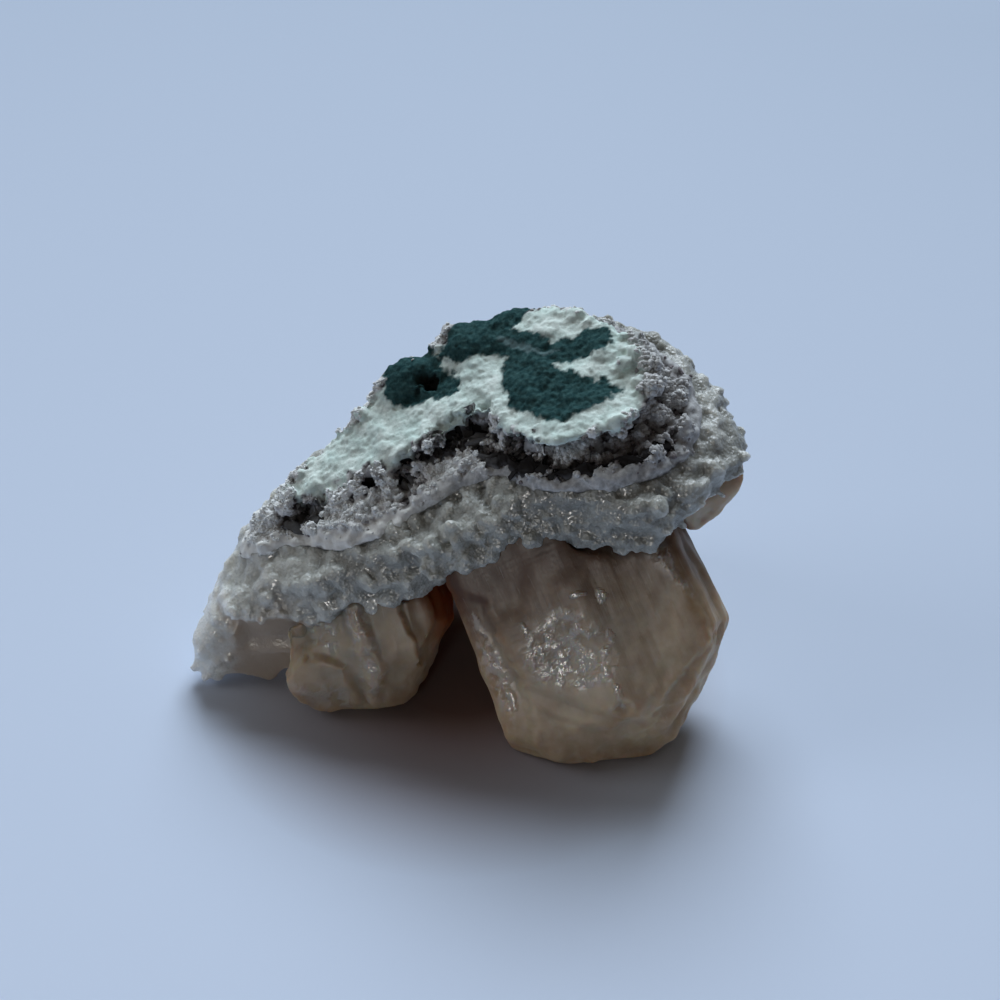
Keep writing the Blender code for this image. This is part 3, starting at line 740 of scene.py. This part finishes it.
def crust_parts(crust):
    """Which part of the crust each of its points belongs to, as shares from 0 to 1."""
    points, normals = points_of(crust), normals_of(crust)
    ragged, fine = raggedness(points, 3.0, 1), raggedness(points, 1.0, 2)
    plateau = inside(points, PLATEAU) + ragged * 1.9 + fine * 0.7
    depth = depth_under_top(points)
    outer = step(-0.6, -0.2, normals[:, 2])
    mint = step(-0.5, 0.5, plateau) * (1 - step(0.9, 2.0, depth))
    mint *= 1 - 0.8 * step(24, 27, points[:, 0] + ragged * 2.5)
    mint *= 1 - 0.8 * (1 - step(-28, -24, points[:, 0] + ragged * 2))
    green = np.zeros(len(points))
    for outline in GREEN_PATCHES:
        patch = inside(points, outline) + ragged * 0.7 + fine * 0.5
        green = np.maximum(green, step(-0.7, -0.1, patch))
    green *= 1 - step(1.5, 3.0, depth)
    streak = step(0.1, 0.5, inside(points, GREY_STREAK) + fine * 0.4)
    rim = (1 - step(0.8, 2.2, inside(points, RIM) + ragged * 1.2 + fine * 0.5)) * outer
    grainy = (1 - mint) * (1 - green) * (1 - rim) * outer
    hollow = step(-0.2, 0.8, inside(points, SHADED_HOLLOW) + ragged * 0.5)
    crevice = step(-0.4, 0.4, inside(points, CREVICE) + ragged * 1.3 + fine * 0.9)
    hollow = np.maximum(hollow, crevice * (1 - mint))
    for outline in HOLES:
        hole = step(-0.8, 0.1, inside(points, outline) + ragged * 1.2 + fine * 0.8)
        hollow = np.maximum(hollow, hole * (1 - 0.7 * mint))
    return dict(outer=outer, mint=mint, green=green, streak=streak, rim=rim, grainy=grainy,
                hollow=hollow, ragged=ragged, fine=fine)


def crust_clumps(crust, parts, chance):
    """Knobbly clumps on the crust's grainy band and along its rim."""
    count = CLUMP_COUNT
    x = points_of(crust)[:, 0]
    bunched = step(-0.35, 0.15, parts["ragged"] + 0.5 * parts["fine"] - 0.35 * step(16, 22, x))
    weights = parts["grainy"] * (0.06 + bunched) + 0.08 * parts["rim"] * (1 - step(-6, 4, x))
    weights = weights * (1 - 0.9 * parts["hollow"]) + 0.22 * parts["hollow"]
    spots, facing = surface_spots(crust, weights, count, chance)
    size = chance.uniform(0.45, 1.35, count) * (1 + 0.5 * step(2, 20, spots[:, 0]))
    sizes = size[:, None] * chance.uniform(0.65, 1.0, (count, 3))
    turns = turned_towards(facing, chance)
    sunk = size * chance.uniform(-0.25, 0.5, count)
    return scattered("clumps", lump_model(), spots - facing * sunk[:, None], turns, sizes)


def make_crust():
    """The crust, its surface before the clumps, and how rough each of its points is."""
    crust = copy_of_node("rock_crust", "crust")
    rebuild(crust, BARE_CRUST_CUBE)
    smooth(crust, 8)
    bare = skin_of(crust)
    join_into(crust, [crust_clumps(crust, crust_parts(crust), np.random.default_rng(CLUMP_SEED))])
    rebuild(crust, CRUST_CUBE)
    smooth(crust, 1)
    parts = crust_parts(crust)
    ragged, fine = parts["ragged"], parts["fine"]
    points = points_of(crust)
    stands = heights_over(bare, points)
    for name in ("outer", "mint", "green", "rim", "grainy", "hollow"):
        mask(crust, name, parts[name])
    for name in ("mint", "green", "rim", "hollow", "streak"):
        keep_tone(crust, name, parts[name])
    keep_tone(crust, "dusty", 1 - step(-14, 2, points[:, 0] + ragged * 3))
    # Painted shade under the plateau's lip and on the crust's right, kept as the share that lies
    # out of it.
    painted_shade = step(2.0, 5.0, depth_under_top(points)) * step(2, 8, points[:, 0])
    painted_shade = np.maximum(0.6 * painted_shade, 0.5 * step(17, 23, points[:, 0] + ragged * 3))
    keep_tone(crust, "out_of_shade", 1 - painted_shade)
    raise_relief(crust, "CLOUDS", 3.5 * MM, 1.1 * MM, "outer", noise_depth=2)
    smooth_points, normals = points_of(crust), normals_of(crust)
    raise_relief(crust, "CLOUDS", 1.2 * MM, 0.45 * MM, "outer", noise_depth=3)
    raise_relief(crust, "CLOUDS", 0.7 * MM, 0.3 * MM, "mint", noise_depth=2)
    raise_relief(crust, "VORONOI", 1.2 * MM, -0.8 * MM, "grainy")
    smooth(crust, 12, where="rim")
    raise_relief(crust, "CLOUDS", 2.4 * MM, 1.0 * MM, "rim", noise_depth=1)
    raise_relief(crust, "CLOUDS", 0.8 * MM, 0.2 * MM, "rim", noise_depth=2)
    raise_relief(crust, "VORONOI", 0.7 * MM, -0.3 * MM, "green")
    lift = lifted(crust, smooth_points, normals)
    # Painted shade: lower points darker, crests lighter.
    keep_tone(crust, "crest", step(0.0, 0.45, stands + lift + 0.28 + fine * 0.35))
    # Painted shade where the mint's relief sinks.
    keep_tone(crust, "crease", 1 - step(-0.3, -0.05, lift))
    push(crust, HOLLOW_PUSH, "hollow")
    dress(crust, "rock_crust", crust_material())
    rough = np.clip(parts["grainy"] + 0.1 * parts["rim"], 0, 1) * (1 - 0.97 * parts["hollow"])
    rough *= 0.05 + step(-0.1, 0.5, stands)
    return crust, bare, rough


def make_grains(crust, bare, rough):
    """Powdery grains sitting on the clumps."""
    chance = np.random.default_rng(GRAIN_SEED)
    count = GRAIN_COUNT
    spots, facing = surface_spots(crust, rough, count, chance)
    turns = turned_towards(facing + chance.normal(0, 0.3, (count, 3)), chance)
    radius = chance.uniform(0.1, 0.3, count) ** 0.9 * (1 + 0.35 * step(2, 12, spots[:, 0]))
    sizes = radius[:, None] * chance.uniform(0.55, 1.3, (count, 3))
    stands = heights_over(bare, spots)
    # Painted shade: grains lower on the clumps, under the plateau's lip and on the right are
    # darker; the noise is random tone.
    tone_and_shade = step(-0.4, 0.55, stands) * 1.25 + chance.normal(0, 0.12, count)
    depth = depth_under_top(spots)
    tone_and_shade -= 0.6 * step(2.0, 5.0, depth) * step(2, 8, spots[:, 0])
    tone_and_shade *= 1 - 0.45 * step(17, 23, spots[:, 0])
    grains = scattered("grains", grain_model(), spots, turns, sizes)
    keep_tone(grains, "grain", np.repeat(tone_and_shade, len(grains.data.vertices) // count))
    dress(grains, "rock_crust", grain_material())


def make_druse():
    """The druse with its crystals joined into it, its relief and the colours' places."""
    druse = copy_of_node("white_druse", "druse")
    rebuild(druse, BARE_DRUSE_CUBE)
    trim_lower_edge(druse)
    points = points_of(druse)
    mask(druse, "undercut", undercut(points) * step(6, 10, points[:, 2]))
    push(druse, UNDERCUT_PUSH, "undercut")
    bare = skin_of(druse)
    outer = druse_outside(druse) * (1 - undercut(points_of(druse)))
    chance = np.random.default_rng(DRUSE_SEED)
    bunches = [druse_lumps(druse, outer, chance), druse_plates(druse, outer, chance),
               druse_teeth(druse, outer, chance), left_teeth(druse, chance), druse_tongue(chance)]
    join_into(druse, bunches)
    rebuild(druse, DRUSE_CUBE)
    smooth(druse, 1, factor=0.25)
    outer = druse_outside(druse)
    mask(druse, "outer", outer)
    points, normals = points_of(druse), normals_of(druse)
    keep_tone(druse, "cream", np.maximum(0.9 * undercut(points), 0.35 * creaminess(points)))
    # Whiter left end and upper right edge: partly whiter crystal, partly painted light.
    keep_tone(druse, "frost_and_light", frost_and_lit_end(points))
    stands = heights_over(bare, points)
    calm = np.maximum(undercut(points), 1 - step(-40, -35, points[:, 0])) * outer
    mask(druse, "calm", calm)
    depth = depth_under_top(points)
    overhung = np.exp(-((points[:, 0] - 4) / 8) ** 2)
    overhung *= step(3, 7, depth) * (1 - step(8, 12, depth))
    main = SHEAVES["stilbite_main"]
    off_main = (points - np.array(main["root"])) @ np.array(sheaf_frame(main))[:, 1]
    overhung *= outer * step(0.3, -0.1, normals[:, 1]) * (1 - step(6.0, 7.5, off_main))
    mask(druse, "overhung", overhung)
    under_rim = inside(points, RIM)
    seam = step(-1.2, 0.2, under_rim) * (1 - step(1.5, 3.0, under_rim))
    mask(druse, "seam", seam * step(0.2, 0.6, normals[:, 2]))
    raise_relief(druse, "CLOUDS", 3.2 * MM, 0.5 * MM, "outer", noise_depth=2)
    raise_relief(druse, "CLOUDS", 0.9 * MM, 0.22 * MM, "outer", noise_depth=3)
    lift = lifted(druse, points, normals)
    # Painted shade: the druse darker in its recesses and on its lower right, lighter on its crests.
    crest = 0.55 * step(-0.1, 1.3, stands) + 0.45 * step(-0.2, 0.2, lift)
    shaded = np.exp(-((points[:, 0] - 14) / 16) ** 2) * step(2, 7, depth) * outer
    keep_tone(druse, "crest", np.maximum(crest, 0.7 * calm) * (1 - 0.65 * shaded))
    smooth(druse, 14, where="calm")
    push(druse, OVERHANG_PUSH, "overhung")
    push(druse, SEAM_PUSH, "seam")
    dress(druse, "white_druse", druse_material())


def trim_lower_edge(druse):
    """Lets the druse's lower edge hang lower beside the left sheaf, and higher on the right."""
    points = points_of(druse)
    x, y, z = points.T
    edge_depth = read_off(EDGE_DEPTH, x)
    share = np.clip((depth_under_top(points) - 8) / (edge_depth - 8), 0, 1) * (1 - step(8, 17, y))
    points[:, 2] = np.maximum(z + read_off(EDGE_RISE, x) * share, np.minimum(z, 0.5))
    druse.data.vertices.foreach_set("co", (points * MM).ravel())
    druse.data.update()


def druse_lumps(druse, outer, chance):
    """Low rounded lumps, partly sunk into the druse."""
    count = LUMP_COUNT
    spots, facing = surface_spots(druse, outer, count, chance)
    size = chance.uniform(2.0, 3.8, count) * (0.5 + 0.5 * step(-38, -26, spots[:, 0]))
    size *= 1 - 0.35 * step(8, 16, spots[:, 0]) - 0.25 * step(36, 40, spots[:, 0])
    sizes = size[:, None] * chance.uniform((0.8, 0.55, 0.4), (1.0, 0.9, 0.5), (count, 3))
    turns = turned_towards(facing + chance.normal(0, 0.2, (count, 3)), chance)
    return scattered("lumps", lump_model(), spots - facing * (size * 0.22)[:, None], turns, sizes)


def druse_plates(druse, outer, chance):
    """Blunt crystals, flat on the druse and a little tilted, that give it its icy faces."""
    count = PLATE_COUNT
    spots, facing = surface_spots(druse, outer, count, chance)
    across = chance.uniform(1.8, 4.6, count) * (0.5 + 0.5 * step(-38, -26, spots[:, 0]))
    across *= 1 - 0.15 * step(8, 16, spots[:, 0]) - 0.3 * step(37, 40, spots[:, 0])
    sizes = across[:, None] * chance.uniform((0.8, 0.5, 0.12), (1.0, 1.0, 0.3), (count, 3))
    tilt = 0.35 - 0.15 * step(4, 14, spots[:, 0])
    turns = turned_towards(facing + tilt[:, None] * chance.normal(0, 1, (count, 3)), chance)
    return scattered("plates", crystal_model(), spots, turns, sizes)


def druse_teeth(druse, outer, chance):
    """Small points along the druse's lower edge."""
    height = normals_of(druse)[:, 2]
    edge = outer * step(-0.9, -0.6, height) * (1 - step(-0.3, 0.1, height))
    count = TOOTH_COUNT
    spots, facing = surface_spots(druse, edge, count, chance)
    across = chance.uniform(0.9, 2.2, count)
    sizes = across[:, None] * chance.uniform((0.8, 0.4, 0.6), (1.0, 0.9, 1.0), (count, 3))
    turns = turned_towards(facing + chance.normal(0, 0.35, (count, 3)), chance)
    return scattered("teeth", crystal_model(), spots, turns, sizes)


def undercut(points):
    """The smooth brown crystal under the druse's jagged edge, low at the left front."""
    x, y, z = points.T
    ragged = raggedness(points, 1.7, 9)
    under = step(14.7, 13.6, z + 1.2 * ragged) * step(-39, -33.5, x + 2 * ragged)
    return under * (1 - step(-22, -19, x)) * (1 - step(-2, 2, y))


def left_teeth(druse, chance):
    """Small crystals along the jagged edge over the undercut."""
    x, y, z = points_of(druse).T
    edge = np.exp(-((z - 14.6) / 0.8) ** 2) * step(-38, -36, x) * (1 - step(-21, -19, x))
    count = LEFT_TOOTH_COUNT
    spots, facing = surface_spots(druse, edge * (1 - step(-4, 0, y)), count, chance)
    facing = facing + np.array((0, 0, -0.5)) + chance.normal(0, 0.4, (count, 3))
    sizes = chance.uniform(1.2, 2.6, count)[:, None] * chance.uniform(0.5, 0.9, (count, 3))
    return scattered("left_teeth", crystal_model(), spots, turned_towards(facing, chance), sizes)


def druse_tongue(chance):
    """The druse that has grown down over the root of the main sheaf's front face."""
    spec = SHEAVES["stilbite_main"]
    count = TONGUE_COUNT
    across = chance.uniform(-18, 8, count)
    down = read_off(TONGUE_EDGE, across)
    down -= chance.uniform(0, 6, count) + chance.uniform(-0.7, 0.7, count)
    own = np.stack([across, chance.uniform(8.3, 9.4, count), down], axis=1)
    turn = np.array(sheaf_frame(spec))
    spots = own @ turn.T + np.array(spec["root"])
    facing = np.repeat(turn[:, 1][None], count, axis=0) + chance.normal(0, 0.5, (count, 3))
    size = 1.0 + 2.2 * chance.uniform(0, 1, count) ** 2
    sizes = size[:, None] * chance.uniform(0.6, 1.0, (count, 3))
    return scattered("tongue", crystal_model(), spots, turned_towards(facing, chance), sizes)


def druse_outside(druse):
    """1 on the druse's open outside, 0 on its seat under the rock and in the middle below."""
    points, normals = points_of(druse), normals_of(druse)
    under_rim = inside(points, RIM)
    seat = step(0.3, 1.2, under_rim) * step(0.2, 0.6, normals[:, 2])
    middle = step(3.5, 6.0, under_rim) * step(0.1, 0.5, -normals[:, 2])
    return (1 - seat) * (1 - middle)


def creaminess(points):
    """Where the druse is creamy instead of white: low on its left part, but not at its tip."""
    x = points[:, 0] + raggedness(points, 4, 3) * 3
    return step(-40, -36, x) * (1 - step(-30, -20, x)) * step(4.5, 8, depth_under_top(points))


def frost_and_lit_end(points):
    """Where the druse is whitest: its left end, which is partly painted light, and its upper edge
    on the right.
    """
    x = points[:, 0] + raggedness(points, 3, 8) * 3
    right = step(26, 36, x) * (1 - step(3, 8, depth_under_top(points)))
    return np.maximum((1 - step(-40, -34, x)) + 0.55 * (1 - step(-34, -20, x)), right)


def make_sheaf(node, spec):
    """A sheaf with the steps, pearly patches and relief of its faces, and its colours' places."""
    name = node.replace("stilbite_", "") + "_sheaf"
    sheaf = copy_of_node(node, name)
    rebuild(sheaf, SHEAF_CUBE)
    smooth(sheaf, spec["smoothing"])
    points = points_of(sheaf)
    turn = np.array(sheaf_frame(spec))
    own = (points - np.array(spec["root"])) @ turn
    off_table = step(0.3, 2.0, points[:, 2])
    wander = raggedness(points, 2.5, spec["seed"]) * 0.5
    plane = own[:, [0, 2]] + wander[:, None]
    in_front = step(0.5, 3.0, own[:, 1])
    steps = STEPS.get(node, [])
    fading = step(1, 15, own[:, 2]) * (1 - step(1, 12, own[:, 0]))
    for k, (_, softness, fades, outline) in enumerate(steps):
        share = step(-softness, softness, inside(plane, outline)) * in_front * off_table
        mask(sheaf, f"step{k}", share * fading if fades else share)
    pearl_sheen = np.zeros(len(points))
    for outline in PEARLY.get(node, []):
        pearl_sheen = np.maximum(pearl_sheen, step(-1.2, 1.2, inside(plane, outline)) * in_front)
    along = own[:, 2] / spec["length"]
    mask(sheaf, "free", off_table)
    mask(sheaf, "rough", pearl_sheen)
    pearl_sheen *= step(-0.35, 0.25, raggedness(points, 1.6, 30 + spec["seed"]))
    # Painted glints, added to the pearly sheen.
    for spot, across, length in GLINTS.get(node, []):
        at = (np.array(spot) - np.array(spec["root"])) @ turn
        off = ((plane[:, 0] - at[0]) / across) ** 2 + ((plane[:, 1] - at[2]) / length) ** 2
        pearl_sheen = np.maximum(pearl_sheen, step(1.0, 0.3, off + wander) * in_front)
    keep_tone(sheaf, "pearl_sheen", pearl_sheen)
    # Paler in the middle of the front face: partly milky crystal, partly painted light.
    milk_and_light = np.exp(-(((own[:, 0] + 3) / 9) ** 2 + ((own[:, 2] - 0.42 * spec["length"]) / 9) ** 2))
    keep_tone(sheaf, "milk_and_light", 0.65 * milk_and_light * in_front)
    from_gap = np.linalg.norm(points - np.array(GAP), axis=1)
    # Painted glow near the gap.
    keep_tone(sheaf, "gap_glow", 1 - step(5, 14, from_gap + 2 * wander))
    # Dark brown near the root: partly the crystal's own colour, partly painted shade under the
    # druse.
    keep_tone(sheaf, "root", 1 - step(0.05, 0.55, along + wander * 0.12))
    mask(sheaf, "end", off_table * step(0.45, 0.8, along))
    mask(sheaf, "foot", step(0.45, 0.8, along))
    guide = bpy.data.objects.new("guide", None)
    bpy.context.scene.collection.objects.link(guide)
    guide.matrix_world = (Matrix.Translation(Vector(spec["root"]) * MM)
                          @ sheaf_frame(spec).to_4x4() @ Matrix.Diagonal((1, 1, 14, 1)))
    bpy.context.view_layer.update()
    smooth(sheaf, 130, where="foot")
    for k, (height, *_) in enumerate(steps):
        push(sheaf, height, f"step{k}")
    raise_relief(sheaf, "CLOUDS", 2.6 * MM, 0.26 * MM, "free", along=guide, noise_depth=2)
    raise_relief(sheaf, "CLOUDS", 0.7 * MM, 0.1 * MM, "free", along=guide, noise_depth=2)
    raise_relief(sheaf, "CLOUDS", 7.0 * MM, 1.3 * MM, "free", noise_depth=1)
    raise_relief(sheaf, "CLOUDS", 3.2 * MM, 1.3 * MM, "end", noise_depth=1)
    raise_relief(sheaf, "CLOUDS", 1.3 * MM, 0.3 * MM, "rough", noise_depth=2)
    bpy.data.objects.remove(guide)
    dress(sheaf, node, peach_material(name + "_peach", spec))


# The table, the light and the camera

def make_table():
    bpy.ops.object.select_all(action="DESELECT")
    bpy.ops.mesh.primitive_plane_add(size=TABLE_SIZE, location=(0, 0, TABLE_TOP))
    table = bpy.context.object
    table.name = "table"
    material, tree, shader = shaded_material("table_white")
    way = add(tree, "ShaderNodeSeparateXYZ", Vector=place(tree))
    # Painted shade: the table darker towards the back and the right.
    across = maths(tree, "ADD", way.outputs["Y"], maths(tree, "MULTIPLY", way.outputs["X"], 0.3))
    pale = mottled(tree, "table", across, -0.08, 0.3)
    off_gap = add(tree, "ShaderNodeVectorMath", {"operation": "DISTANCE"})
    feed(tree, off_gap.inputs[0], place(tree))
    feed(tree, off_gap.inputs[1], Vector(WARM_SHADE) * MM)
    # Painted shadow, dark and warm, round that place.
    warm_shadow = spread(tree, off_gap.outputs["Value"], 0.010, 0.042, 1.0, 0.0)
    feed(tree, shader.inputs["Base Color"], blend(tree, warm_shadow, pale, TABLE_WARM_SHADOW))
    settle(shader, Roughness=0.7)
    table.data.materials.append(material)


def make_light(name, place_at, size, power, colour):
    light = bpy.data.lights.new(name, "AREA")
    light.shape = "RECTANGLE"
    light.size, light.size_y = size
    light.energy = power
    light.color = colour
    lamp = bpy.data.objects.new(name, light)
    lamp.location = place_at
    lamp.rotation_euler = (Vector(LIT_POINT) - Vector(place_at)).to_track_quat("-Z", "Y").to_euler()
    bpy.context.scene.collection.objects.link(lamp)
    return lamp


def make_camera():
    lens = bpy.data.cameras.new("camera")
    lens.sensor_fit = "HORIZONTAL"
    lens.angle = CAMERA_ANGLE
    lens.clip_start = 0.01
    camera = bpy.data.objects.new("camera", lens)
    back = Vector((0, -math.cos(CAMERA_HEIGHT), math.sin(CAMERA_HEIGHT)))
    camera.location = LOOKED_AT + back * CAMERA_DISTANCE
    camera.rotation_euler = (-back).to_track_quat("-Z", "Y").to_euler()
    bpy.context.scene.collection.objects.link(camera)
    bpy.context.scene.camera = camera


def make_surroundings():
    scene = bpy.context.scene
    scene.view_settings.view_transform = "Standard"
    world = bpy.data.worlds.new("room")
    world.use_nodes = True
    background = world.node_tree.nodes["Background"]
    background.inputs["Color"].default_value = ROOM_COLOUR
    background.inputs["Strength"].default_value = ROOM_STRENGTH
    scene.world = world
    lamps = {name: make_light(name, *lamp) for name, lamp in LAMPS.items()}
    lamps["front_lamp"].visible_diffuse = False


crust, bare_rock, rough = make_crust()
make_grains(crust, bare_rock, rough)
make_druse()
for node, spec in SHEAVES.items():
    make_sheaf(node, spec)
make_table()
make_surroundings()
make_camera()
